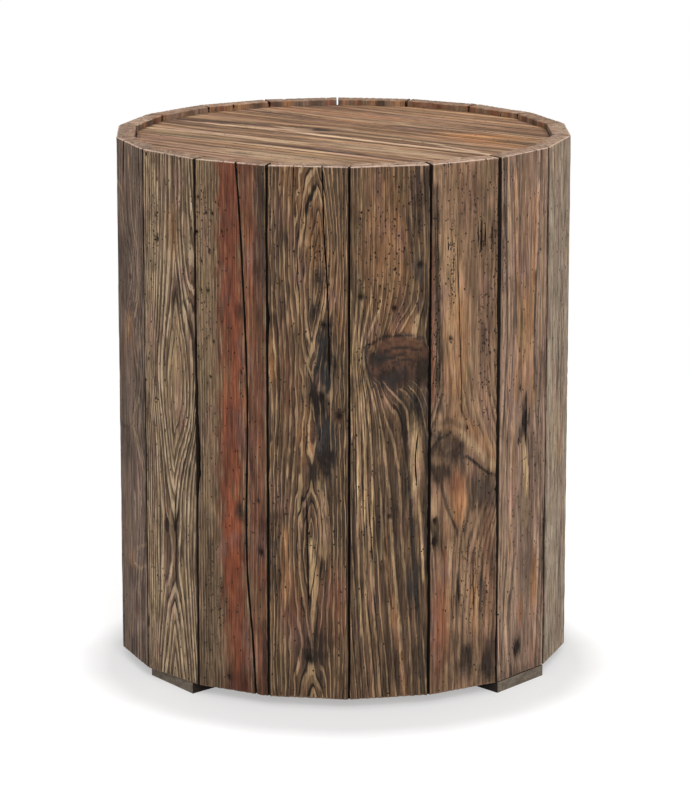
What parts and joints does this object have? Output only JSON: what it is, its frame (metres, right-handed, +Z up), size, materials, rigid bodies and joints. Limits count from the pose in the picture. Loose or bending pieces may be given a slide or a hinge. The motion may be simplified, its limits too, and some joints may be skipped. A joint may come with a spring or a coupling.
{
  "type": "round end table",
  "caption": "Drum-shaped end table of upright mitred staves of reclaimed wood, with a boarded top set below the rim and low wedge feet.",
  "frame": {"origin": "on the floor, under the middle of the drum", "axes": "+Z up; the front is -Y, where two staves meet; +X to the right seen from the front"},
  "size_m": [0.5002, 0.5072, 0.594],
  "materials": {
    "stave_tan": "wire-brushed reclaimed pine, weathered, matt to satin",
    "stave_honey": "wire-brushed reclaimed pine, weathered, matt to satin",
    "stave_red": "wire-brushed reclaimed pine, weathered, matt to satin",
    "stave_brown": "wire-brushed reclaimed pine, weathered, matt to satin",
    "stave_grey": "wire-brushed reclaimed pine, weathered, matt to satin",
    "top_boards": "brushed reclaimed boards, oiled, matt to satin",
    "plywood": "raw sanded plywood",
    "foot_wood": "dark stained offcut, matt",
    "screw_steel": "zinc plated"
  },
  "bodies": {
    "root": {"stave_01": "stave_tan", "stave_02": "stave_honey", "stave_03": "stave_brown", "stave_04": "stave_grey", "stave_05": "stave_grey", "stave_06": "stave_tan", "stave_07": "stave_honey", "stave_08": "stave_red", "stave_09": "stave_tan", "stave_10": "stave_brown", "stave_11": "stave_honey", "stave_12": "stave_brown", "stave_13": "stave_tan", "stave_14": "stave_grey", "stave_15": "stave_brown", "stave_16": "stave_tan", "stave_17": "stave_red", "stave_18": "stave_brown", "top_plank_1": "top_boards", "top_plank_2": "top_boards", "top_plank_3": "top_boards", "top_plank_4": "top_boards", "top_plank_5": "top_boards", "top_plank_6": "top_boards", "sub_top_panel": "plywood", "bottom_panel": "plywood", "foot_front_left": "foot_wood", "foot_front_right": "foot_wood", "foot_rear_left": "foot_wood", "foot_rear_right": "foot_wood", "foot_screws": "screw_steel"}
  },
  "joints": []
}
